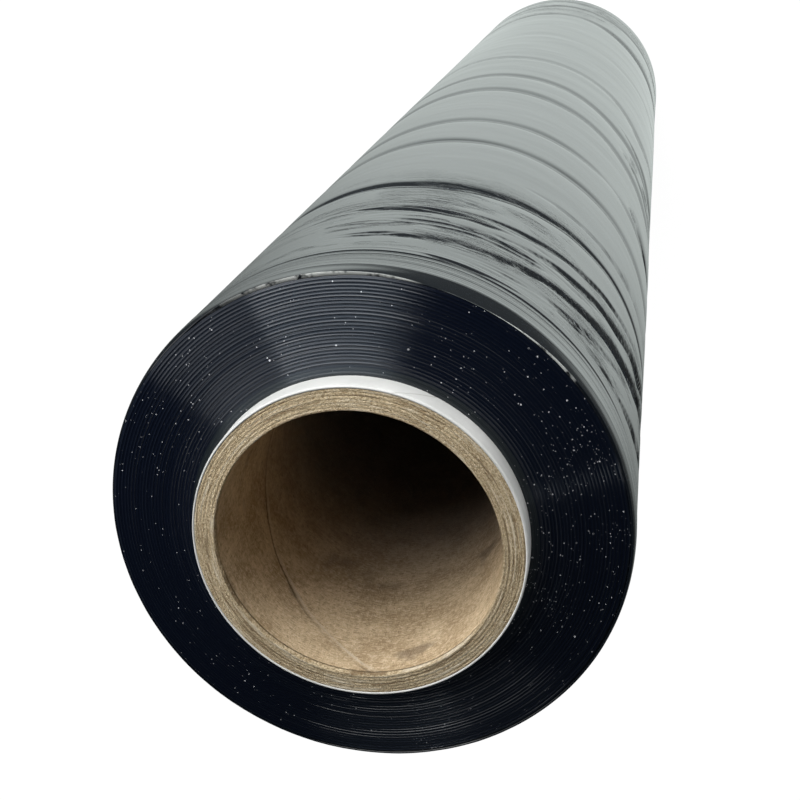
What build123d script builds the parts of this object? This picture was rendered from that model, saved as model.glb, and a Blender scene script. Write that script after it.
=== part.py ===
from build123d import *
import os

# A roll of stretch wrap: one long web of film wound on a paper core that stands out at both ends.
# The roll stands on its core. The core's axis is +Z, and the origin is the centre of its lower rim.
# All sizes are in millimetres.

os.makedirs("parts", exist_ok=True)

# The core: spiral-wound kraft paper with one white ply outside
bore_radius = 25.5
kraft_wall = 3.9
white_ply = 0.45
core_stand_out = 5.5  # length of core that shows past the film at each end
ply_setback = 0.25  # the cut turns the white ply's edge in, so it ends this far short of the rim

# The film: all its turns together
film_width = 500.0
film_build = 18.05  # from the core to the fullest outer turns
end_fall = 2.0  # the outer turns are narrower than the inner ones by this much at each end
shoulder = 2.0  # rounding of the outermost turns
edge_slack = 0.5  # the outermost turns are this much smaller at their edges
hoop_depth = 0.3  # how far a tight band of film draws the surface in

# Where the tight bands lie, as shares of the film's width above its lower edge
hoop_shares = (0.035, 0.075, 0.155, 0.305, 0.45, 0.535, 0.60, 0.70, 0.76, 0.85, 0.93)

kraft_radius = bore_radius + kraft_wall
core_radius = kraft_radius + white_ply
core_length = film_width + 2 * core_stand_out
film_radius = core_radius + film_build
edge_radius = film_radius - edge_slack
film_bottom = core_stand_out
film_top = film_bottom + film_width


# Kraft tube, open right through
with BuildPart() as core_tube:
    with BuildSketch(Plane.XY):
        Circle(kraft_radius)
        Circle(bore_radius, mode=Mode.SUBTRACT)
    extrude(amount=core_length)
core_tube.part.label = "core_tube"


# White outer ply, glued to the kraft tube all over
with BuildPart() as core_liner:
    with BuildSketch(Plane.XY.offset(ply_setback)):
        Circle(core_radius)
        Circle(kraft_radius, mode=Mode.SUBTRACT)
    extrude(amount=core_length - 2 * ply_setback)
core_liner.part.label = "core_liner"


# Film: a half section turned round the core. The surface swells a little between two tight bands.
face_rim_radius = edge_radius - shoulder
lower_rim = film_bottom + end_fall
upper_rim = film_top - end_fall
lower_edge = lower_rim + shoulder
upper_edge = upper_rim - shoulder
hoop_radius = film_radius - hoop_depth
hoop_heights = [film_bottom + share * film_width for share in hoop_shares]
stations = [lower_edge] + hoop_heights + [upper_edge]

outer_turns = [(edge_radius, lower_edge)]
for below, above in zip(stations, stations[1:]):
    outer_turns.append((film_radius, (below + above) / 2))
    outer_turns.append((hoop_radius, above))
outer_turns[-1] = (edge_radius, upper_edge)

with BuildPart() as film_roll:
    with BuildSketch(Plane.XZ):
        with BuildLine():
            Line((core_radius, film_bottom), (face_rim_radius, lower_rim))
            CenterArc((face_rim_radius, lower_edge), shoulder, start_angle=-90, arc_size=90)
            Spline(*outer_turns, tangents=[(0, 1)] * len(outer_turns))
            CenterArc((face_rim_radius, upper_edge), shoulder, start_angle=0, arc_size=90)
            Line((face_rim_radius, upper_rim), (core_radius, film_top))
            Line((core_radius, film_top), (core_radius, film_bottom))
        make_face()
    revolve(axis=Axis.Z)
film_roll.part.label = "film_roll"


export_step(core_tube.part, "parts/core_tube.step")
export_step(core_liner.part, "parts/core_liner.step")
export_step(film_roll.part, "parts/film_roll.step")
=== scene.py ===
import math

import bmesh
import bpy
import numpy as np
from mathutils import Matrix, Vector


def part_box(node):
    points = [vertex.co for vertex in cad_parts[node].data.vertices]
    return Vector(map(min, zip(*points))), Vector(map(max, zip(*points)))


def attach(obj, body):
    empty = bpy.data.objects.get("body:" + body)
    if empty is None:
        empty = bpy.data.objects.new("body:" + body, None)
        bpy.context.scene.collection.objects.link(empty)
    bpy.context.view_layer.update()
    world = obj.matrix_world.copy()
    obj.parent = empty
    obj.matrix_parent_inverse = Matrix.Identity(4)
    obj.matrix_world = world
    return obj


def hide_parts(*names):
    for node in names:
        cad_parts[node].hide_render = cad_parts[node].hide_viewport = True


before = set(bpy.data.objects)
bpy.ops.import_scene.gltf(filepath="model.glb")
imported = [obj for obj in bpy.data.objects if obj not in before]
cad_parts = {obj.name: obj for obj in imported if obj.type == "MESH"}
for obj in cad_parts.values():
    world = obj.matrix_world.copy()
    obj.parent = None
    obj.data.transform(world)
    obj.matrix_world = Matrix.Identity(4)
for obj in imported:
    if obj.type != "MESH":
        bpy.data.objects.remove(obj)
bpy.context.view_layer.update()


# Kraft tube. The core that the film is wound on: plies of brown kraft paper, glued and wound in a spiral on a
# mandrel, then cut to length with a knife. The cut shows the plies, and the bore the seam of the inner one.
mm = 0.001
kraft_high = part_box("core_tube")[1]
liner_low, liner_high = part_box("core_liner")
core_length = kraft_high.z
bore_radius = 25.5 * mm
kraft_radius = kraft_high.x
core_radius = liner_high.x
kraft_plies = 6
ply_thickness = (kraft_radius - bore_radius) / kraft_plies
seam_rise = 130 * mm  # the spiral seam rises this much in one turn
seam_start = math.radians(211)  # where it meets the upper rim, turned from -Y towards +X
core_steps = 256  # sides to a full turn


def azimuth_of(x, y):
    """Angle round the core in radians, from -Y towards +X, for arrays or single numbers."""
    return np.arctan2(x, -y)


def turned(name, outline, steps):
    """A closed outline of (radius, height) points, spun an eighth of the way round the core and copied on."""
    shape = bmesh.new()
    corners = [shape.verts.new((0, -radius, height)) for radius, height in outline]
    edges = [shape.edges.new(pair) for pair in zip(corners, corners[1:] + corners[:1])]
    bmesh.ops.spin(
        shape, geom=corners + edges, cent=(0, 0, 0), axis=(0, 0, 1), dvec=(0, 0, 0),
        angle=math.tau / 8, steps=steps // 8, use_duplicate=False,
    )
    eighth = shape.verts[:] + shape.edges[:] + shape.faces[:]
    for count in range(1, 8):
        copied = bmesh.ops.duplicate(shape, geom=eighth)["geom"]
        copied = [part for part in copied if isinstance(part, bmesh.types.BMVert)]
        onward = Matrix.Rotation(math.tau * count / 8, 3, "Z")
        bmesh.ops.rotate(shape, verts=copied, cent=(0, 0, 0), matrix=onward)
    bmesh.ops.remove_doubles(shape, verts=shape.verts, dist=1e-6)
    bmesh.ops.recalc_face_normals(shape, faces=shape.faces)
    for face in shape.faces:
        face.smooth = True
    mesh = bpy.data.meshes.new(name)
    shape.to_mesh(mesh)
    shape.free()
    piece = bpy.data.objects.new(name, mesh)
    bpy.context.scene.collection.objects.link(piece)
    return piece


def corners_of(piece):
    """The piece's vertices as an array, to be moved and given back with set_corners."""
    flat = np.empty(len(piece.data.vertices) * 3)
    piece.data.vertices.foreach_get("co", flat)
    return flat.reshape(-1, 3)


def set_corners(piece, corners):
    piece.data.vertices.foreach_set("co", corners.ravel())
    piece.data.update()


def to_radius(points, radius, moved):
    """Moves points from their radius to another, straight out from the core's axis or in towards it."""
    points[:, :2] *= (moved / radius)[:, None]


def wander(angle, seed, waves, size):
    """An uneven line round the core: sines of 1 to `waves` waves a turn, with phases from the seed."""
    random = np.random.default_rng(seed)
    total = np.zeros_like(angle)
    for count in range(1, waves + 1):
        total += np.sin(count * angle + random.uniform(0, math.tau)) * random.uniform(0.4, 1) / count ** 0.7
    return total * size


def rows_between(low, high, spacing):
    """Even steps from low up to, but not on, high."""
    count = max(1, round((high - low) / spacing))
    return [low + (high - low) * step / count for step in range(count)]


# Half section: out along the lower rim, in along the upper one, and down the bore. Each ply's cut edge is a
# shallow hump.
rim_hump = 0.06 * mm
rim_fall = 0.58 * mm  # the cut edge leans outwards a little
rim_outline = []
for ply in range(kraft_plies):
    dip = 1.6 * rim_hump if ply else 3 * rim_hump
    for share, drop in ((0.0, dip), (0.2, 0.4 * rim_hump), (0.5, 0.0), (0.8, 0.4 * rim_hump)):
        out = (ply + share) * ply_thickness
        rim_outline.append((bore_radius + out, drop + rim_fall * out / (kraft_radius - bore_radius)))
rim_outline.append((kraft_radius, rim_fall + 2 * rim_hump))
below_rim = 0.6 * mm  # where the bore's own rows start
seen_depth = 60 * mm  # the bore has close rows this far in from each rim
bore_rows = rows_between(below_rim, seen_depth, 1 * mm)
bore_rows += rows_between(seen_depth, core_length - seen_depth, 12 * mm)
bore_rows += rows_between(core_length - seen_depth, core_length - below_rim, 1 * mm)
kraft_outline = rim_outline + [(radius, core_length - drop) for radius, drop in reversed(rim_outline)]
kraft_outline += [(bore_radius, height) for height in reversed(bore_rows)]
kraft_tube = turned("kraft_tube", kraft_outline, core_steps)

points = corners_of(kraft_tube)
angle = azimuth_of(points[:, 0], points[:, 1])
radius = np.hypot(points[:, 0], points[:, 1])
height = points[:, 2]
off_middle = np.abs(height - core_length / 2)
seam_height = core_length - seam_rise * (seam_start - angle) / math.tau
off_seam = (height - seam_height + seam_rise / 2) % seam_rise - seam_rise / 2
groove = 0.12 * mm * np.exp(-(off_seam / (0.9 * mm)) ** 2)
groove -= 0.07 * mm * np.exp(-((off_seam - 1.8 * mm) / (1.4 * mm)) ** 2)
frayed = np.clip((off_middle - core_length / 2 + 2.5 * mm) / (2.5 * mm), 0, 1)
rough = wander(angle, 11, 115, 0.035 * mm) * frayed
bore_wall = np.maximum(radius + groove + rough, bore_radius)
to_radius(points, radius, np.where(radius < bore_radius + 0.01 * mm, bore_wall, radius))
sink = wander(angle, 12, 60, 0.02 * mm) + wander(angle + radius * 900, 13, 110, 0.022 * mm)
sink *= off_middle > core_length / 2 - 0.8 * mm
points[:, 2] -= np.sign(height - core_length / 2) * np.maximum(sink, 0)
set_corners(kraft_tube, points)


class Shading:
    """A material's or group's node tree, with short calls to add and join its nodes."""

    def __init__(self, tree):
        self.tree = tree

    def add(self, kind, settings=None, **inputs):
        node = self.tree.nodes.new(kind)
        for name, value in (settings or {}).items():
            setattr(node, name, value)
        for name, value in inputs.items():
            self.feed(node, name, value)
        return node

    def feed(self, node, name, value):
        """Sets or links an input, given by its name with _ for each blank, or as i0, i1, i2 by its place."""
        by_place = name[0] == "i" and name[1:].isdigit()
        socket = node.inputs[int(name[1:]) if by_place else name.replace("_", " ")]
        if isinstance(value, bpy.types.NodeSocket):
            self.tree.links.new(value, socket)
        else:
            socket.default_value = value

    def math(self, operation, first, second=0.0, third=0.0):
        return self.add("ShaderNodeMath", {"operation": operation}, i0=first, i1=second, i2=third).outputs[0]

    def times(self, *numbers):
        product = numbers[0]
        for number in numbers[1:]:
            product = self.math("MULTIPLY", product, number)
        return product

    def apart(self, first, second):
        return self.math("ABSOLUTE", self.math("SUBTRACT", first, second))

    def vector(self, operation, first, second=(0, 0, 0), third=(0, 0, 0)):
        node = self.add("ShaderNodeVectorMath", {"operation": operation}, i0=first, i1=second, i2=third)
        return node.outputs[0]

    def length(self, vector):
        return self.add("ShaderNodeVectorMath", {"operation": "LENGTH"}, i0=vector).outputs["Value"]

    def ramp(self, value, low, high, start=0.0, end=1.0):
        node = self.add("ShaderNodeMapRange", {"interpolation_type": "SMOOTHSTEP"}, Value=value)
        node.inputs["From Min"].default_value = low
        node.inputs["From Max"].default_value = high
        node.inputs["To Min"].default_value = start
        node.inputs["To Max"].default_value = end
        return node.outputs[0]

    def blend(self, share, first, second):
        node = self.add("ShaderNodeMix", {"data_type": "RGBA"})
        self.feed(node, "i0", share)
        self.feed(node, "i6", first)
        self.feed(node, "i7", second)
        return node.outputs[2]

    def noise(self, place, scale, detail=2.0, roughness=0.5, distortion=0.0):
        return self.add("ShaderNodeTexNoise", Vector=place, Scale=scale, Detail=detail, Roughness=roughness,
                        Distortion=distortion).outputs["Fac"]

    def stretched(self, place, scale):
        return self.add("ShaderNodeMapping", Vector=place, Scale=scale).outputs[0]

    def placed(self, tree, **inputs):
        """A node group placed in this tree with its own values: its outputs."""
        return self.add("ShaderNodeGroup", {"node_tree": tree}, **inputs).outputs


def material(name, roughness, specular, color):
    """A new material with one Principled BSDF, returned with its shading and that node."""
    made = bpy.data.materials.new(name)
    made.use_nodes = True
    shading = Shading(made.node_tree)
    surface = made.node_tree.nodes["Principled BSDF"]
    surface.inputs["Roughness"].default_value = roughness
    surface.inputs["Specular IOR Level"].default_value = specular
    surface.inputs["Base Color"].default_value = color
    return made, shading, surface


def group(name, inputs, outputs):
    """A shader node group with named number inputs, each with a starting value, and named number outputs."""
    tree = bpy.data.node_groups.new(name, "ShaderNodeTree")
    for label, start in inputs.items():
        socket = tree.interface.new_socket(name=label, in_out="INPUT", socket_type="NodeSocketFloat")
        socket.default_value = start
    for label in outputs:
        tree.interface.new_socket(name=label, in_out="OUTPUT", socket_type="NodeSocketFloat")
    shading = Shading(tree)
    return tree, shading, shading.add("NodeGroupInput").outputs, shading.add("NodeGroupOutput")


# Round the core: radius, height and angle of a point, for patterns that follow the roll
polar_group, polar, _, polar_out = group("round_the_core", {}, ("Radius", "Height", "Angle"))
polar_place = polar.add("ShaderNodeTexCoord").outputs["Object"]
polar_x, polar_y, polar_z = polar.add("ShaderNodeSeparateXYZ", Vector=polar_place).outputs
x_square = polar.math("MULTIPLY", polar_x, polar_x)
y_square = polar.math("MULTIPLY", polar_y, polar_y)
polar.feed(polar_out, "Radius", polar.math("SQRT", polar.math("ADD", x_square, y_square)))
polar.feed(polar_out, "Height", polar_z)
polar.feed(polar_out, "Angle", polar.math("ARCTAN2", polar_x, polar.math("MULTIPLY", polar_y, -1.0)))

# Wound fibre: noise drawn out along the turns. Along, Out and Up are its scales, in waves per metre
wound_group, wound, wound_in, wound_out = group(
    "wound_fibre",
    {"Along": 90.0, "Out": 2300.0, "Up": 0.0, "Detail": 3.0, "Roughness": 0.6, "Distortion": 0.2},
    ("Streaks",))
wound_place = wound.add("ShaderNodeTexCoord").outputs["Object"]
wound_flat = wound.vector("MULTIPLY", wound_place, (1, 1, 0))
wound_z = wound.add("ShaderNodeSeparateXYZ", Vector=wound_place).outputs["Z"]
wound_rise = wound.math("ADD", wound.times(wound.length(wound_flat), wound_in["Out"]),
                        wound.times(wound_z, wound_in["Up"]))
wound_outward = wound.vector("NORMALIZE", wound_flat)
wound_ring = wound.add("ShaderNodeVectorMath", {"operation": "SCALE"}, Vector=wound_outward,
                       Scale=wound.times(wound_in["Along"], core_radius)).outputs[0]
wound_spot = wound.vector("ADD", wound_ring, wound.add("ShaderNodeCombineXYZ", Z=wound_rise).outputs[0])
wound.feed(wound_out, "Streaks", wound.noise(wound_spot, 1.0, wound_in["Detail"], wound_in["Roughness"],
                                             wound_in["Distortion"]))

# Paper fibre: short crossed fibres, cloudy pulp and fine tooth, for kraft and white paper alike
fibre_group, fibre, fibre_in, fibre_out = group(
    "paper_fibre", {"Fibre Scale": 1.0}, ("Fibres", "Clouds", "Tooth"))
fibre_place = fibre.add("ShaderNodeTexCoord").outputs["Object"]
fibre_scaled = fibre.add("ShaderNodeVectorMath", {"operation": "SCALE"}, Vector=fibre_place,
                         Scale=fibre_in["Fibre Scale"]).outputs[0]
long_fibres = fibre.noise(fibre.stretched(fibre_scaled, (900, 900, 2600)), 1.0, 4, 0.65, 0.6)
cross_fibres = fibre.noise(fibre.stretched(fibre_scaled, (1500, 1500, 700)), 1.0, 4, 0.65, 0.6)
fibre.feed(fibre_out, "Fibres", fibre.math("ADD", fibre.math("MULTIPLY", long_fibres, 0.6),
                                           fibre.math("MULTIPLY", cross_fibres, 0.4)))
fibre.feed(fibre_out, "Clouds", fibre.noise(fibre_scaled, 130, 5, 0.55))
fibre.feed(fibre_out, "Tooth", fibre.noise(fibre_scaled, 4200, 2, 0.7))

kraft, shade, surface = material("kraft_paper", 0.85, 0.2, (0.42, 0.31, 0.19, 1))
where = shade.placed(polar_group)
pulp = shade.placed(fibre_group, Fibre_Scale=1.0)
body = shade.blend(shade.ramp(pulp["Clouds"], 0.35, 0.65), (0.47, 0.345, 0.205, 1), (0.66, 0.51, 0.325, 1))
body = shade.blend(shade.ramp(pulp["Fibres"], 0.50, 0.60, 0, 0.55), body, (0.86, 0.72, 0.52, 1))
body = shade.blend(shade.ramp(pulp["Fibres"], 0.49, 0.39, 0, 0.6), body, (0.27, 0.185, 0.105, 1))
# stains inside the bore, and painted shade: a dark grey that deepens far from the ends, where little light
# reaches into the bore
from_middle = shade.apart(where["Height"], core_length / 2)
stain_place = shade.add("ShaderNodeTexCoord").outputs["Object"]
stains = shade.ramp(shade.noise(stain_place, 75, 3, 0.5, 0.4), 0.60, 0.72, 0, 0.55)
body = shade.blend(stains, body, (0.10, 0.068, 0.045, 1))
# painted shade: the bore's paper is painted darker and greyer from 20 mm in from each rim
painted_shade_deep_in_bore = shade.ramp(from_middle, core_length / 2 - 20 * mm, core_length / 2 - 75 * mm, 0, 0.8)
body = shade.blend(painted_shade_deep_in_bore, body, (0.17, 0.155, 0.165, 1))
# the seam: a dark gap where two windings of the inner ply meet, with a pale turned edge beside it
seam_level = shade.math("MULTIPLY_ADD", where["Angle"], seam_rise / math.tau,
                        core_length - seam_rise * seam_start / math.tau)
seam_turns = shade.math("DIVIDE", shade.math("SUBTRACT", where["Height"], seam_level), seam_rise)
seam_share = shade.math("FRACT", shade.math("ADD", seam_turns, 0.5))
seam_off = shade.math("SUBTRACT", shade.times(seam_share, seam_rise), seam_rise / 2)
seam_shake = shade.math("SUBTRACT", shade.noise(stain_place, 160, 3), 0.5)
seam_off = shade.math("ADD", seam_off, shade.times(seam_shake, 1.6 * mm))
pale_edge = shade.times(shade.ramp(shade.apart(seam_off, -1.1 * mm), 0.65 * mm, 0.2 * mm),
                        shade.ramp(shade.noise(stain_place, 90, 2), 0.38, 0.60, 0.1, 0.8))
body = shade.blend(pale_edge, body, (0.66, 0.56, 0.42, 1))
gap = shade.times(shade.ramp(shade.math("ABSOLUTE", seam_off), 0.55 * mm, 0.12 * mm),
                  shade.ramp(shade.noise(stain_place, 60, 2), 0.35, 0.60, 0.15, 0.75))
body = shade.blend(gap, body, (0.060, 0.042, 0.028, 1))
body = shade.blend(shade.ramp(pulp["Tooth"], 0.55, 0.70, 0, 0.35), body, (0.90, 0.76, 0.55, 1))
body = shade.blend(shade.ramp(pulp["Tooth"], 0.45, 0.30, 0, 0.40), body, (0.22, 0.15, 0.09, 1))
# the cut rim: streaks of pale torn fibre that follow the plies, with darker glue between them
streaks = shade.placed(wound_group, Along=2100.0, Out=5600.0, Up=1500.0, Detail=4.0, Roughness=0.7,
                       Distortion=0.5)[0]
plies = shade.placed(wound_group, Along=90.0, Out=2300.0, Up=0.0, Detail=3.0, Roughness=0.6,
                     Distortion=0.2)[0]
speck = shade.noise(stain_place, 2300, 3, 0.75)
rim_color = shade.blend(shade.ramp(streaks, 0.34, 0.66), (0.37, 0.26, 0.140, 1), (0.83, 0.69, 0.46, 1))
rim_color = shade.blend(shade.ramp(plies, 0.56, 0.66, 0, 0.7), rim_color, (0.88, 0.79, 0.62, 1))
rim_color = shade.blend(shade.ramp(plies, 0.46, 0.37, 0, 0.75), rim_color, (0.24, 0.165, 0.090, 1))
rim_color = shade.blend(shade.ramp(speck, 0.58, 0.72, 0, 0.7), rim_color, (0.92, 0.83, 0.66, 1))
on_rim = shade.ramp(from_middle, core_length / 2 - 1.5 * mm, core_length / 2 - 1.0 * mm)
shade.feed(surface, "Base Color", shade.blend(on_rim, body, rim_color))
shade.feed(surface, "Roughness", shade.ramp(pulp["Fibres"], 0.3, 0.7, 0.95, 0.75))
grain = shade.math("ADD", pulp["Fibres"], shade.times(pulp["Tooth"], 0.4))
grain_bump = shade.add("ShaderNodeBump", Height=grain, Strength=0.9, Distance=0.28 * mm)
torn = shade.times(shade.math("ADD", streaks, shade.math("ADD", plies, speck)), on_rim)
torn_bump = shade.add("ShaderNodeBump", Height=torn, Strength=1.0, Distance=0.35 * mm,
                      Normal=grain_bump.outputs[0])
shade.feed(surface, "Normal", torn_bump.outputs[0])
kraft_tube.data.materials.append(kraft)
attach(kraft_tube, "root")
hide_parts("core_tube")


# White ply. The last ply of the core is smooth white paper, glued over the kraft in the same spiral. It shows
# where the core stands out of the film, with its butt seam and a few shallow creases.
ply_setback = 0.3 * mm  # the knife leaves the outer ply this much shorter still, where it turned the edge in
edge_round = 0.12 * mm
butt_start = math.radians(11.5)  # where its seam meets the upper rim, turned from -Y towards +X
ply_low = liner_low.z + ply_setback
ply_high = liner_high.z - ply_setback
film_low, film_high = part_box("film_roll")
stub = film_low.z - ply_low
stub_rows = rows_between(ply_low, ply_low + stub, 0.5 * mm)
ply_heights = stub_rows + [ply_low + stub + 2 * mm, ply_high - stub - 2 * mm]
ply_heights += [ply_high - height + ply_low for height in reversed(stub_rows)]
ply_outline = [(kraft_radius, ply_low), (core_radius - edge_round, ply_low)]
ply_outline += [(core_radius, height) for height in ply_heights[1:-1]]
ply_outline += [(core_radius - edge_round, ply_high), (kraft_radius, ply_high)]
white_ply = turned("white_ply", ply_outline, core_steps)

points = corners_of(white_ply)
angle = azimuth_of(points[:, 0], points[:, 1])
radius = np.hypot(points[:, 0], points[:, 1])
butt_height = core_length - seam_rise * (butt_start - angle) / math.tau
off_butt = (points[:, 2] - butt_height + seam_rise / 2) % seam_rise - seam_rise / 2
dent = 0.10 * mm * np.exp(-(off_butt / (0.35 * mm)) ** 2) + np.maximum(wander(angle, 21, 9, 0.02 * mm), 0)
to_radius(points, radius, np.where(radius > (kraft_radius + core_radius) / 2, radius - dent, radius))
set_corners(white_ply, points)

white_paper, shade, surface = material("white_paper", 0.6, 0.4, (0.8, 0.81, 0.8, 1))
pulp = shade.placed(fibre_group, Fibre_Scale=0.8)
where = shade.placed(polar_group)
sheet = shade.blend(shade.ramp(pulp["Clouds"], 0.3, 0.7), (0.69, 0.70, 0.68, 1), (0.78, 0.785, 0.765, 1))
sheet = shade.blend(shade.ramp(pulp["Fibres"], 0.5, 0.3, 0, 0.25), sheet, (0.62, 0.62, 0.60, 1))
butt_level = shade.math("MULTIPLY_ADD", where["Angle"], seam_rise / math.tau,
                        core_length - seam_rise * butt_start / math.tau)
butt_line = shade.ramp(shade.apart(where["Height"], butt_level), 0.28 * mm, 0.05 * mm, 0, 0.45)
sheet = shade.blend(butt_line, sheet, (0.35, 0.34, 0.31, 1))
shade.feed(surface, "Base Color", sheet)
shade.feed(surface, "Roughness", shade.ramp(pulp["Clouds"], 0.3, 0.7, 0.5, 0.68))
paper_height = shade.math("ADD", pulp["Clouds"], shade.times(pulp["Tooth"], 0.2))
paper_bump = shade.add("ShaderNodeBump", Height=paper_height, Strength=0.5, Distance=0.3 * mm)
shade.feed(surface, "Normal", paper_bump.outputs[0])
white_ply.data.materials.append(white_paper)
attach(white_ply, "root")
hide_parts("core_liner")


# Turns of film. Some hundreds of turns of thin black film, wound tight, whose edges make the roll's two ends.
# They are not quite even, so the ends show fine rings, and they carry dust.
film_radius = film_high.x
film_top = film_high.z
end_fall = 2 * mm  # the outer turns are this much narrower at each end
turns_radius = film_radius - 1.0 * mm  # the outer wrap takes the rest
turns_steps = 240
ring_pitch = 0.59 * mm
ring_lift = 0.12 * mm
ring_shape = ((0.0, 0.0), (0.50, 0.05), (0.64, 0.62), (0.74, 1.0), (0.86, 0.52))  # shares of pitch and lift


def end_height(radius):
    """Height of the film's upper end at a radius: it falls a little towards the outside."""
    return film_top - end_fall * (radius - core_radius) / (turns_radius - core_radius)


ring_random = np.random.default_rng(31)
ring_outline = [(core_radius, 0.0), (core_radius + 0.5 * mm, 0.02 * mm), (core_radius + 1.4 * mm, 0.0)]
ring_place = core_radius + 1.7 * mm
while ring_place + 1.1 * ring_pitch < turns_radius:
    width = ring_pitch * ring_random.uniform(0.9, 1.1)
    lift = ring_lift * ring_random.uniform(0.8, 1.15)
    ring_outline += [(ring_place + share * width, lift * rise) for share, rise in ring_shape]
    ring_place += width
ring_outline.append((turns_radius, 0.0))
turns_outline = [(radius, end_height(radius) + lift) for radius, lift in ring_outline]
turns_outline += [
    (radius, core_length - end_height(radius) - lift) for radius, lift in reversed(ring_outline)
]
film_turns = turned("film_turns", turns_outline, turns_steps)

points = corners_of(film_turns)
angle = azimuth_of(points[:, 0], points[:, 1])
radius = np.hypot(points[:, 0], points[:, 1])
inside = (radius > core_radius + 1.0 * mm) & (radius < turns_radius - 0.3 * mm)
sway = wander(angle, 32, 7, 0.035 * mm) + wander(angle + radius * 300, 33, 12, 0.012 * mm)
to_radius(points, radius, radius + np.where(inside, sway, 0))
set_corners(film_turns, points)

# Dust: small pale grains, thicker in some places than in others
dust_group, dust, dust_in, dust_out = group(
    "dust", {"Grain Scale": 900.0, "Amount": 0.5, "Grain Size": 0.2}, ("Grains",))
dust_place = dust.add("ShaderNodeTexCoord").outputs["Object"]
cells = dust.add("ShaderNodeTexVoronoi", {"feature": "F1", "voronoi_dimensions": "2D"}, Vector=dust_place,
                 Scale=dust_in["Grain Scale"])
cell_random = dust.add("ShaderNodeSeparateColor", Color=cells.outputs["Color"]).outputs
grain_reach = dust.times(cell_random[1], dust_in["Grain Size"])
in_grain = dust.math("LESS_THAN", cells.outputs["Distance"], grain_reach)
chosen = dust.math("LESS_THAN", cell_random[0], dust_in["Amount"])
paleness = dust.ramp(cell_random[2], 0.0, 1.0, 0.12, 1.0)
dust.feed(dust_out, "Grains", dust.times(in_grain, chosen, paleness))

turn_edges, shade, surface = material("film_turn_edges", 0.12, 0.3, (0.003, 0.0045, 0.011, 1))
place = shade.add("ShaderNodeTexCoord").outputs["Object"]
where = shade.placed(polar_group)
patches = shade.ramp(shade.noise(place, 70, 3), 0.44, 0.62, 0.25, 1.0)
thick_side = shade.times(shade.ramp(where["Angle"], math.radians(-28), math.radians(-52)),
                         shade.ramp(where["Angle"], math.radians(-105), math.radians(-80)))
fine_amount = shade.times(shade.math("MULTIPLY_ADD", thick_side, 0.24, 0.055), patches)
fine_dust = shade.placed(dust_group, Grain_Scale=2500.0, Grain_Size=0.30, Amount=fine_amount)[0]
coarse_amount = shade.times(shade.math("MULTIPLY_ADD", thick_side, 0.05, 0.022), patches)
coarse_dust = shade.placed(dust_group, Grain_Scale=1050.0, Grain_Size=0.20, Amount=coarse_amount)[0]
grains = shade.math("MAXIMUM", fine_dust, coarse_dust)
by_core = shade.ramp(where["Radius"], core_radius + 1.8 * mm, core_radius + 1.2 * mm)
black = shade.blend(by_core, (0.0025, 0.004, 0.010, 1), (0.011, 0.014, 0.016, 1))
shade.feed(surface, "Base Color", shade.blend(grains, black, (0.62, 0.63, 0.66, 1)))
# the cut edges are so fine that each patch mirrors a fan of directions, out from the core and in towards it
flat_place = shade.vector("MULTIPLY", place, (1, 1, 0))
outward = shade.vector("NORMALIZE", flat_place)
shade.feed(surface, "Tangent", outward)
# each edge leans outwards a little, so the fan is brightest on the side of the roll that faces the light
edge_lean = 0.36
facing = shade.add("ShaderNodeNewGeometry").outputs["Normal"]
leaning = shade.vector("MULTIPLY_ADD", outward, (edge_lean, edge_lean, edge_lean), facing)
shade.feed(surface, "Normal", shade.vector("NORMALIZE", leaning))
surface.inputs["Anisotropic"].default_value = 1.0
surface.inputs["Specular Tint"].default_value = (0.72, 0.86, 1, 1)
surface.inputs["IOR"].default_value = 1.65
ring_noise = shade.add("ShaderNodeTexNoise", {"noise_dimensions": "1D"}, W=shade.length(flat_place),
                       Scale=4200.0, Detail=1.0).outputs["Fac"]
shade.feed(surface, "Roughness", shade.ramp(ring_noise, 0.3, 0.7, 0.30, 0.38))
gloss = shade.ramp(ring_noise, 0.35, 0.65, 0.35, 1.0)
shade.feed(surface, "Coat Weight", shade.math("SUBTRACT", gloss, grains))
surface.inputs["Coat Roughness"].default_value = 0.09
edge_bump = shade.add("ShaderNodeBump", Height=ring_noise, Strength=1.0, Distance=0.08 * mm)
shade.feed(surface, "Coat Normal", edge_bump.outputs[0])
film_turns.data.materials.append(turn_edges)
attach(film_turns, "root")
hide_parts("film_roll")


# Outer wrap. The last turns of film, whose smooth face is the roll's side. Film that was wound tighter in
# places draws in as bands round the roll, and near the ends the web has pinched into slanting creases.
side_radius = film_radius - 0.05 * mm
wrap_steps = 216


def crease_cut(off, size, sharpness=1.0):
    """Depth of a crease at a distance off its line, in mm: a long slope on one side, a short one beyond."""
    short = (0.25 + 1.4 * size) / sharpness
    return size * np.exp(-np.abs(off / np.where(off < 0, 2.2 * short, short)) ** 1.45)


def follow(angle, path, column):
    """The path's column of numbers at angles in degrees, carried round the roll between its points."""
    turns = np.array([point[0] for point in path], float)
    values = np.array([point[column] for point in path], float)
    order = np.argsort(turns)
    turns, values = turns[order], values[order]
    place = np.clip(np.searchsorted(turns, angle, side="right") - 1, 0, len(turns) - 2)
    share = np.clip((angle - turns[place]) / (turns[place + 1] - turns[place]), 0, 1)
    soft = 0.5 * share + 0.5 * share * share * (3 - 2 * share)
    return values[place] + (values[place + 1] - values[place]) * soft


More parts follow.
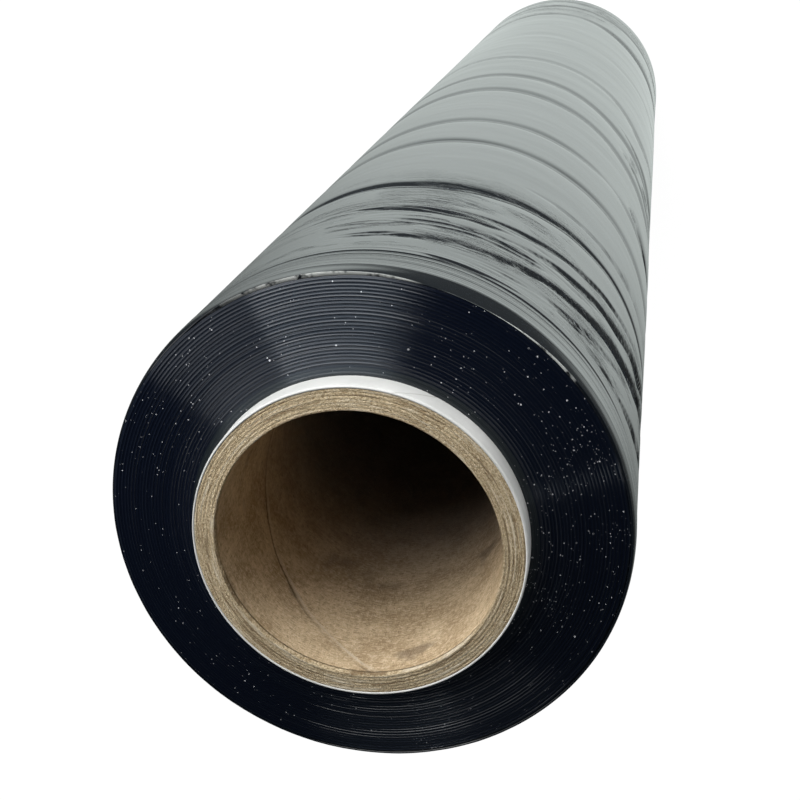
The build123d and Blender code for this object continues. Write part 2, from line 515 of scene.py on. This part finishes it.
# Bands all the way round. A point gives degrees from -Y towards +X, mm below the upper rim, and mm of depth
bands = [
    ((-180, 20.2, 0.06), (-60, 18.6, 0.10), (-20, 18.3, 0.20), (14, 18.4, 0.16), (60, 18.8, 0.05),
     (180, 20.2, 0.06)),
    ((-180, 22.0, 0.04), (-60, 20.6, 0.04), (-14, 20.4, 0.22), (12, 20.2, 0.12), (60, 19.8, 0.04),
     (180, 22.0, 0.04)),
    ((-180, 82, 0.5), (-120, 86, 0.6), (-60, 84, 0.55), (-35, 83, 0.5), (-19, 81, 0.55), (-6, 78.6, 0.6),
     (7, 77, 0.75), (17, 75.8, 0.85), (25, 75.2, 0.75), (36, 77, 0.75), (49, 79, 0.7), (60, 82, 0.6),
     (120, 84, 0.5), (180, 82, 0.5)),
    ((-180, 128, 0.3), (-60, 126, 0.45), (-35, 127.2, 0.4), (0, 125.4, 0.36), (40, 126, 0.45),
     (110, 124, 0.4), (180, 128, 0.3)),
    ((-180, 152, 0.4), (-90, 158, 0.4), (-48, 155.5, 0.5), (-27, 155, 0.12), (-18, 155, 0.3),
     (0, 155.6, 0.42), (45, 154, 0.5), (120, 157, 0.4), (180, 152, 0.4)),
    ((-180, 206, 0.4), (-60, 196, 0.55), (-35, 201, 0.5), (-10, 206.5, 0.42), (17, 209.5, 0.45),
     (45, 208, 0.5), (120, 202, 0.5), (180, 206, 0.4)),
    ((-180, 240, 0.4), (-60, 229, 0.6), (-30, 233, 0.5), (0, 237.5, 0.42), (40, 239, 0.45), (110, 243, 0.4),
     (180, 240, 0.4)),
    ((-180, 270, 0.4), (-60, 276, 0.35), (-40, 271, 0.45), (-20, 278, 0.32), (20, 280, 0.32), (50, 289, 0.25),
     (120, 284, 0.4), (180, 270, 0.4)),
    ((-180, 356, 0.3), (-60, 350, 0.15), (0, 352, 0.15), (60, 348, 0.15), (120, 358, 0.3), (180, 356, 0.3)),
    ((-180, 424, 0.5), (-60, 426, 0.8), (-20, 429, 0.8), (10, 431, 0.35), (80, 425, 0.3), (180, 424, 0.5)),
    ((-180, 468, 0.3), (-60, 470, 0.3), (0, 466, 0.25), (80, 472, 0.3), (180, 468, 0.3)),
    ((-180, 489, 0.12), (-60, 490, 0.12), (0, 488.6, 0.12), (80, 489.5, 0.12), (180, 489, 0.12)),
]
# Creases that run part of the way, in the same terms
creases = [
    ((36, 30.8, 0.1), (24, 31.4, 0.4), (14, 32.6, 0.42), (-1, 34.8, 0.5), (-19, 39.8, 0.55), (-44, 48, 0.9),
     (-58, 57, 1.2), (-70, 66, 1.0)),
    ((20, 33.4, 0.08), (10, 34.2, 0.2), (2, 35.2, 0.12)),
    ((-4, 36.6, 0.1), (-14, 38.6, 0.2), (-24, 41.2, 0.2), (-28, 42.2, 0.1)),
    ((26, 42.8, 0.1), (20, 43.4, 0.25), (-2, 45, 0.35), (-12, 45.2, 0.2)),
    ((22, 40.8, 0.1), (12, 41.2, 0.25), (2, 42.4, 0.3), (-8, 42.6, 0.3), (-15, 44.6, 0.1)),
    ((4, 46.6, 0.1), (-6, 48.6, 0.2), (-18, 51.8, 0.45), (-35, 56.5, 0.8), (-52, 64.8, 1.3), (-66, 75, 1.0)),
    ((-16, 48.6, 0.1), (-24, 50.4, 0.3), (-34, 52.6, 0.15)),
    ((40, 53.4, 0.1), (30, 52.6, 0.35), (18, 52, 0.55), (3, 52, 0.4), (-4, 52.6, 0.1)),
    ((20, 54.8, 0.08), (10, 55.6, 0.22), (-2, 57, 0.4), (-18.6, 60.7, 0.5), (-35, 65.7, 0.7), (-50, 71, 0.5),
     (-58, 74, 0.1)),
    ((26, 58.0, 0.05), (18, 58.4, 0.2), (12, 60, 0.22), (7, 58.8, 0.05)),
    ((14, 64.2, 0.05), (9, 63.6, 0.3), (4, 61.4, 0.05)),
    ((-10, 27.8, 0.08), (-22, 30.6, 0.25), (-34, 34.8, 0.3), (-48, 42, 0.25)),
    ((-14, 26.4, 0.06), (-24, 29.2, 0.2), (-34, 32.6, 0.12)),
    ((2, 26.5, 0.05), (-6, 27, 0.2), (-12, 28.0, 0.05)),
    ((-26, 24.2, 0.08), (-36, 26.6, 0.3), (-45, 30.6, 0.1)),
    ((-35, 25.0, 0.1), (-44, 27.6, 0.5), (-56, 33, 0.9), (-66, 39, 0.6)),
    ((-18, 37, 0.08), (-30, 42.0, 0.25), (-40, 45, 0.6), (-50, 50, 0.9), (-62, 60, 0.8)),
    ((-1, 92.6, 0.08), (-14, 93, 0.3), (-35, 95, 0.35), (-52, 97.5, 0.4), (-70, 99, 0.1)),
    ((14, 22.4, 0.05), (2, 21.6, 0.3), (-10, 22.2, 0.1)),
    ((-28, 165, 0.1), (-48, 160, 0.7), (-62, 158, 0.9), (-80, 160, 0.1)),
    ((-24, 215, 0.1), (-44, 211, 0.8), (-60, 205, 1.0), (-84, 208, 0.1)),
    ((-24, 224, 0.1), (-44, 219, 0.7), (-60, 214, 0.9), (-84, 216, 0.1)),
    ((-26, 243, 0.1), (-46, 238, 0.7), (-62, 232, 0.8), (-84, 236, 0.1)),
]


def random_creases(seed, count, turn_range, depth_range, spans, sizes):
    """Creases like the listed ones, at places drawn from the seed."""
    random = np.random.default_rng(seed)
    made = []
    for _ in range(count):
        middle = random.uniform(*turn_range)
        span = random.uniform(*spans)
        level = random.uniform(*depth_range)
        lean = random.uniform(-0.04, 0.22)
        size = random.uniform(*sizes)
        made.append([
            (middle + span * share, level - lean * span * share + random.uniform(-0.3, 0.3), size * deep)
            for share, deep in ((-1, 0.1), (-0.4, 1), (0.5, 0.8), (1, 0.1))
        ])
    return made


# finer creases run beside the main ones, those near the upper end
main_creases = len(creases)
near_creases = 18
companions = np.random.default_rng(40)
for path in creases[:near_creases]:
    for _ in range(3):
        first, last = min(point[0] for point in path), max(point[0] for point in path)
        middle = companions.uniform(first, last)
        span = companions.uniform(4, 14)
        shift = companions.choice((-1, 1)) * companions.uniform(1.1, 1.9)
        turns = np.array([middle + span * share for share in (-1, -0.4, 0.4, 1)])
        line = follow(turns, path, 1) + shift
        sizes = np.minimum(follow(turns, path, 2), 0.6) * companions.uniform(0.45, 0.8) * (0.2, 1, 1, 0.2)
        creases.append(list(zip(turns, line, sizes)))
# more of them at random: large ones at the back, and small ones in front and on the -X side
creases += random_creases(41, 40, (85, 275), (23, 72), (8, 38), (0.15, 0.7))
creases += random_creases(42, 30, (-14, 44), (23, 68), (2.5, 7), (0.08, 0.16))
creases += random_creases(43, 8, (-62, -16), (26, 70), (3, 7), (0.12, 0.25))

# Rows of corners down the side, close together where bands and creases lie: from, to and spacing in mm
row_zones = (
    (9.5, 24, 0.3), (24, 86, 0.42), (86, 98, 0.8), (98, 121, 4), (121, 131, 0.7), (131, 149, 4),
    (149, 161, 0.8), (161, 194, 5), (194, 213, 1.1), (213, 227, 4), (227, 246, 1.1), (246, 268, 5),
    (268, 294, 1.8), (294, 340, 7), (340, 364, 3.5), (364, 416, 7), (416, 438, 1.8), (438, 462, 4),
    (462, 476, 1.2), (476, 486, 2), (486, 501.5, 0.8),
)
row_depths = []
for low, high, spacing in row_zones:
    row_depths += rows_between(low * mm, high * mm, spacing * mm)
lip_top = end_height(turns_radius)
corner = 0.22 * mm  # rounding of the lip
shoulder_bend = 8.6 * mm  # the outer turns draw in towards the lip on an arc this large
shoulder_tilt = math.radians(21)
wrap_outline = [(turns_radius, lip_top - 0.2 * mm), (turns_radius + 0.03 * mm, lip_top + 0.06 * mm)]
for step in range(4):
    tilt = math.radians(90) + (shoulder_tilt - math.radians(90)) * step / 3
    wrap_outline.append((turns_radius + 0.1 * mm + corner * math.cos(tilt),
                         lip_top - corner * (1 - math.sin(tilt))))
arc_radius, arc_height = wrap_outline[-1]
for step in range(1, 11):
    tilt = shoulder_tilt * (1 - step / 10)
    wrap_outline.append((arc_radius + shoulder_bend * (math.cos(tilt) - math.cos(shoulder_tilt)),
                         arc_height - shoulder_bend * (math.sin(shoulder_tilt) - math.sin(tilt))))
full_radius = wrap_outline[-1][0]
lower_outline = [(radius, core_length - height) for radius, height in reversed(wrap_outline)]
first_row = lower_outline[0][1]
wrap_outline += [
    (full_radius, core_length - depth) for depth in row_depths
    if first_row + 0.2 * mm < depth < core_length - first_row - 0.2 * mm
]
wrap_outline += lower_outline
outer_wrap = turned("outer_wrap", wrap_outline, wrap_steps)

points = corners_of(outer_wrap)
turn = np.degrees(azimuth_of(points[:, 0], points[:, 1]))
angle = np.radians(turn)
radius = np.hypot(points[:, 0], points[:, 1])
depth = (core_length - points[:, 2]) / mm
on_side = radius > full_radius - 0.001 * mm
fullness = np.clip(np.minimum(depth - 11, 500 - depth) / 14, 0, 1)
swell = (side_radius - full_radius) * fullness ** 0.5
cut = np.zeros(len(points))
for number, path in enumerate(bands):
    line = follow(turn, path, 1) + wander(angle, 50 + number, 24, 0.12)
    size = follow(turn, path, 2) * np.clip(1 + wander(angle, 80 + number, 9, 0.12), 0.4, 1.4)
    cut += crease_cut(depth - line, size * (1.25 if number > 2 else 1.0), 0.65 if number > 2 else 0.9)
for number, path in enumerate(creases):
    first = min(point[0] for point in path)
    last = max(point[0] for point in path)
    local = (turn - first + 90) % 360 + first - 90
    near = on_side & (local > first) & (local < last)
    near &= np.abs(depth - follow(local, path, 1)) < 10
    line = follow(local[near], path, 1) + wander(angle[near], 120 + number, 60, 0.10)
    fade = np.clip((local[near] - first) / 2, 0, 1) * np.clip((last - local[near]) / 2, 0, 1)
    size = follow(local[near], path, 2) * np.clip(1 + wander(angle[near], 190 + number, 60, 0.22), 0.3, 1.5)
    sharp = 1.75 - 0.5 * np.clip((-local[near] - 38) / 14, 0, 1)
    weight = 1.1 if number < main_creases else 0.9
    cut[near] += crease_cut(depth[near] - line, fade * size * weight, sharp)
soft_waves = wander(angle, 61, 3, 0.06) * np.sin(depth / 31)
soft_waves += wander(angle, 62, 4, 0.05) * np.sin(depth / 57 + 1)
cut += np.clip(soft_waves + 0.12, 0, 0.4) * fullness
near_end = np.clip((depth - 11.5) / 2, 0, 1) * np.clip((24 - depth) / 3, 0, 1)
fine_lines = np.sin(depth * 6.6 + wander(angle, 64, 5, 0.5))
fine_lines += 0.6 * np.sin(depth * 4.1 + wander(angle, 65, 5, 0.5))
cut += near_end * 0.05 * (1.2 + fine_lines * (0.8 + wander(angle, 66, 4, 0.25)))
deepest_cut = 1.9
side = radius + swell - np.minimum(cut, deepest_cut) * mm
# the shoulder by the upper end bends in more in some places than in others, given by degrees and share
shoulder_end = 12  # mm below the upper rim
bend_shares = (
    (-180, 0.8), (-60, 0.68), (-30, 0.62), (-19, 0.76), (-8, 0.95), (8, 0.95), (19, 0.5), (32, 0.25),
    (52, 0.4), (66, 1), (130, 1), (180, 0.8),
)
on_shoulder = (radius > turns_radius + 0.05 * mm) & (depth < shoulder_end)
bent = full_radius - (full_radius - radius) * follow(turn, bend_shares, 1)
moved = np.where(on_side, side, np.where(on_shoulder, bent, radius))
# the outer turns are pinched in hardest in front, beside the lip
pinch = 0.32 * np.exp(-((turn + 2) / 15) ** 2) + 0.10 * np.clip(wander(angle, 67, 6, 0.5), 0, 1)
pinch *= np.clip((shoulder_end - depth) / 3, 0, 1) * np.clip((radius - turns_radius) / corner / 1.4, 0, 1)
moved -= np.where(on_shoulder, pinch * mm, 0)
to_radius(points, radius, moved)
# the outermost edge of the film is a ragged lip
lip = (np.abs(depth - (core_length - lip_top) / mm) < 0.4) & (radius > turns_radius + 0.01 * mm)
points[:, 2] += np.where(lip, wander(angle, 63, 120, 0.045 * mm), 0)
set_corners(outer_wrap, points)

film_face, shade, surface = material("stretch_film", 0.1, 0.5, (0.006, 0.008, 0.011, 1))
surface.inputs["IOR"].default_value = 1.6
place = shade.add("ShaderNodeTexCoord").outputs["Object"]
where = shade.placed(polar_group)
from_end = shade.math("SUBTRACT", core_length / 2, shade.apart(where["Height"], core_length / 2))
slow = shade.noise(shade.stretched(place, (25, 25, 60)), 1.0, 2, 0.5)
shade.feed(surface, "Roughness", shade.ramp(slow, 0.3, 0.7, 0.07, 0.13))
# strands: fine ridges between the creases, in patches
crease_zone = shade.times(shade.ramp(from_end, 22 * mm, 26 * mm), shade.ramp(from_end, 95 * mm, 60 * mm))
strand_noise = shade.noise(shade.stretched(place, (18, 18, 240)), 1.0, 4, 0.55, 0.5)
strands = shade.ramp(shade.apart(strand_noise, 0.5), 0.04, 0.0)
strand_patches = shade.ramp(shade.noise(shade.stretched(place, (26, 26, 55)), 1.0, 3), 0.56, 0.64)
strand_height = shade.times(strands, strand_patches, crease_zone)
strand_bump = shade.add("ShaderNodeBump", {"invert": True}, Height=strand_height, Strength=1.0,
                        Distance=0.45 * mm)
# even lines round the roll, close to its end
ring_lines = shade.noise(shade.stretched(place, (5, 5, 700)), 1.0, 2, 0.6)
line_zone = shade.times(shade.ramp(from_end, 9.5 * mm, 11.5 * mm), shade.ramp(from_end, 25 * mm, 20 * mm))
line_bump = shade.add("ShaderNodeBump", Height=shade.times(ring_lines, line_zone), Strength=1.0,
                      Distance=0.22 * mm, Normal=strand_bump.outputs[0])
# short ticks, finer still
drawn = shade.noise(shade.stretched(place, (45, 45, 1500)), 1.0, 3, 0.6, 0.3)
ticks = shade.ramp(shade.apart(drawn, 0.5), 0.035, 0.0)
tick_patches = shade.ramp(shade.noise(shade.stretched(place, (30, 30, 70)), 1.0, 2), 0.5, 0.62)
tick_height = shade.times(ticks, tick_patches, crease_zone)
tick_bump = shade.add("ShaderNodeBump", {"invert": True}, Height=tick_height, Strength=1.0,
                      Distance=0.08 * mm, Normal=line_bump.outputs[0])
slow_bump = shade.add("ShaderNodeBump", Height=slow, Strength=0.5, Distance=0.6 * mm,
                      Normal=tick_bump.outputs[0])
shade.feed(surface, "Normal", slow_bump.outputs[0])
# painted highlight: pale grey painted in ragged places along the lip, on two stretches in front, where its
# edge catches the light
lip_noise = shade.noise(shade.stretched(place, (300, 300, 300)), 1.0, 3, 0.7)
lip_level = shade.math("SUBTRACT", core_length - lip_top + 0.20 * mm, from_end)
front_left = shade.times(shade.ramp(where["Angle"], math.radians(9), math.radians(14)),
                         shade.ramp(where["Angle"], math.radians(60), math.radians(38)))
front_right = shade.times(shade.ramp(where["Angle"], math.radians(-3), math.radians(-8)),
                          shade.ramp(where["Angle"], math.radians(-30), math.radians(-24)))
painted_lip_highlight = shade.times(shade.ramp(lip_level, 0.0, 0.2 * mm), shade.ramp(lip_noise, 0.36, 0.50),
                        shade.math("MAXIMUM", front_left, front_right))
shade.feed(surface, "Base Color", shade.blend(painted_lip_highlight, (0.006, 0.008, 0.011, 1), (0.50, 0.52, 0.50, 1)))
outer_wrap.data.materials.append(film_face)
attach(outer_wrap, "root")


# Studio. A white floor in a dim room, lit by two panes of a tall window on the +X side and by narrow strips
# on the other side and behind. Three fills light the paper, and the film does not mirror them.
def lamp(name, size, power, seat, target, mirrored=True):
    data = bpy.data.lights.new(name, "AREA")
    data.shape = "RECTANGLE"
    data.size, data.size_y = size
    data.energy = power
    made = bpy.data.objects.new(name, data)
    made.location = seat
    made.rotation_mode = "QUATERNION"
    made.rotation_quaternion = (Vector(target) - Vector(seat)).to_track_quat("-Z", "Y")
    made.visible_camera = False
    made.visible_glossy = mirrored
    bpy.context.scene.collection.objects.link(made)


def round_seat(turn, distance, height):
    """A place at an angle from -Y towards +X, a distance from the roll and a height above the floor."""
    return (distance * math.sin(math.radians(turn)), -distance * math.cos(math.radians(turn)), height)


lamp("window", (1.35, 1.7), 26, round_seat(48, 1.5, 1.35), (0, 0, 0.5))
lamp("window_far_pane", (1.0, 1.7), 6, round_seat(90, 1.5, 1.35), (0, 0, 0.5))
lamp("strip", (0.12, 0.6), 0.4, round_seat(-72, 1.5, 0.85), (0, 0, 0.5))
lamp("fill", (1.0, 0.8), 10, round_seat(32, 1.5, 0.95), (0, 0, 0.45), mirrored=False)
lamp("side_fill", (0.8, 0.8), 3, round_seat(100, 1.5, 1.1), (0, 0, 0.5), mirrored=False)
lamp("low_fill", (0.9, 0.4), 6, round_seat(-30, 1.5, 0.30), (0, 0, 0.3), mirrored=False)
lamp("back_strip", (0.25, 0.9), 4, round_seat(205, 1.6, 0.10), (0, 0, 0.1))

floor_shape = bmesh.new()
bmesh.ops.create_circle(floor_shape, cap_ends=True, segments=96, radius=3)
floor_mesh = bpy.data.meshes.new("floor")
floor_shape.to_mesh(floor_mesh)
floor_shape.free()
floor = bpy.data.objects.new("floor", floor_mesh)
bpy.context.scene.collection.objects.link(floor)
floor_white = bpy.data.materials.new("floor_white")
floor_white.use_nodes = True
shade = Shading(floor_white.node_tree)
shade.tree.nodes.clear()
rays = shade.add("ShaderNodeLightPath").outputs
plain = shade.add("ShaderNodeBsdfDiffuse", Color=(0.9, 0.92, 0.91, 1)).outputs[0]
# what mirrors the floor sees it as a graded sheet: brightest in front, dimmer behind and far out
floor_place = shade.add("ShaderNodeTexCoord").outputs["Object"]
floor_y = shade.add("ShaderNodeSeparateXYZ", Vector=floor_place).outputs["Y"]
grade = shade.times(shade.ramp(floor_y, -0.24, 0.20, 1.35, 0.24),
                    shade.ramp(shade.length(floor_place), 0.28, 0.42, 1.0, 0.14))
mirrored = shade.math("MAXIMUM", rays["Is Glossy Ray"], rays["Is Transmission Ray"])
strength = shade.math("MAXIMUM", shade.times(rays["Is Camera Ray"], 1.08), grade)
tint = shade.blend(mirrored, (1, 1, 1, 1), (0.92, 1, 0.97, 1))
white = shade.add("ShaderNodeEmission", Color=tint, Strength=strength).outputs[0]
share = shade.math("MAXIMUM", shade.times(rays["Is Camera Ray"], 0.9), mirrored)
mixed = shade.add("ShaderNodeMixShader", Fac=share, i1=plain, i2=white).outputs[0]
shade.feed(shade.add("ShaderNodeOutputMaterial"), "Surface", mixed)
floor_mesh.materials.append(floor_white)

world = bpy.data.worlds.new("room")
bpy.context.scene.world = world
world.use_nodes = True
shade = Shading(world.node_tree)
shade.tree.nodes.clear()
rays = shade.add("ShaderNodeLightPath").outputs
mirrored = shade.math("MAXIMUM", rays["Is Glossy Ray"], rays["Is Transmission Ray"])
sky_place = shade.add("ShaderNodeTexCoord").outputs["Generated"]
upward = shade.add("ShaderNodeSeparateXYZ", Vector=sky_place).outputs["Z"]
room = shade.times(mirrored, shade.ramp(upward, 0.05, 0.45, 0.20, 0.02))
level = shade.math("ADD", room, shade.times(shade.math("SUBTRACT", 1.0, mirrored), 0.1))
level = shade.math("MAXIMUM", level, rays["Is Camera Ray"])
room_tint = shade.blend(mirrored, (1, 1, 1, 1), (0.66, 0.82, 1, 1))
room_light = shade.add("ShaderNodeBackground", Color=room_tint, Strength=level).outputs[0]
shade.feed(shade.add("ShaderNodeOutputWorld"), "Surface", room_light)

# The camera looks down on the near end, and is turned most of the way over
camera_seat = Vector((0, -119.6, 719.65)) * mm
camera_turn = math.radians(-2.19)
camera_tilt = math.radians(23.5)  # up from straight down
camera_roll = math.radians(-153.65)
camera_data = bpy.data.cameras.new("camera")
camera_data.lens = 62.1
camera_data.sensor_width = 36
camera_data.clip_start = 0.01
camera = bpy.data.objects.new("camera", camera_data)
camera.matrix_world = (
    Matrix.Translation(camera_seat) @ Matrix.Rotation(camera_turn, 4, "Z")
    @ Matrix.Rotation(camera_tilt, 4, "X") @ Matrix.Rotation(camera_roll, 4, "Z")
)
bpy.context.scene.collection.objects.link(camera)
bpy.context.scene.camera = camera
bpy.context.scene.view_settings.view_transform = "Standard"
